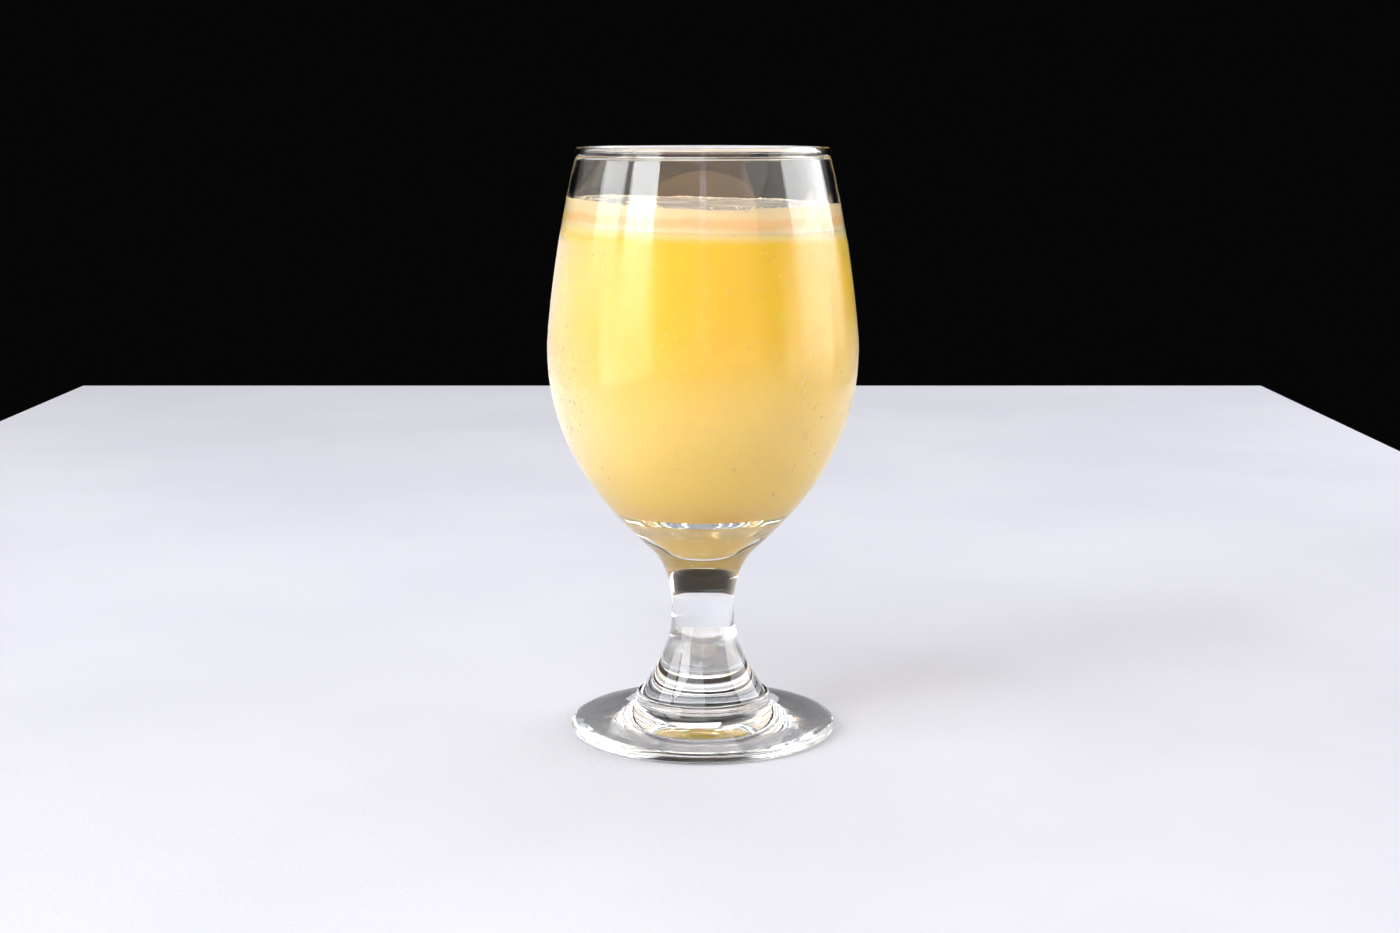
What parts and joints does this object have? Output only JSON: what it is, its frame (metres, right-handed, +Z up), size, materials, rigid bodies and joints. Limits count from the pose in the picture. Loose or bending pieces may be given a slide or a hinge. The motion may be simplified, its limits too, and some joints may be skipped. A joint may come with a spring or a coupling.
{
  "type": "glass of mango lassi",
  "caption": "Short-stemmed clear glass goblet, filled almost to the rim with opaque yellow mango lassi under a thin layer of cream froth; it stands on its round foot.",
  "frame": {"origin": "centre of the foot on the surface that the glass stands on", "axes": "+Z up along the axis of the glass; the drink stands a little higher on the -X side, and -Y is the side that the picture shows"},
  "size_m": [0.079, 0.079, 0.15],
  "materials": {
    "clear_glass": "smooth, clear, with fine condensation on the outside of the bowl",
    "lassi": "opaque, creamy, softly glossy drink",
    "froth": "pale, finely bubbled, satin"
  },
  "bodies": {
    "root": {"glass": "clear_glass", "lassi": "lassi", "froth": "froth"}
  },
  "joints": []
}
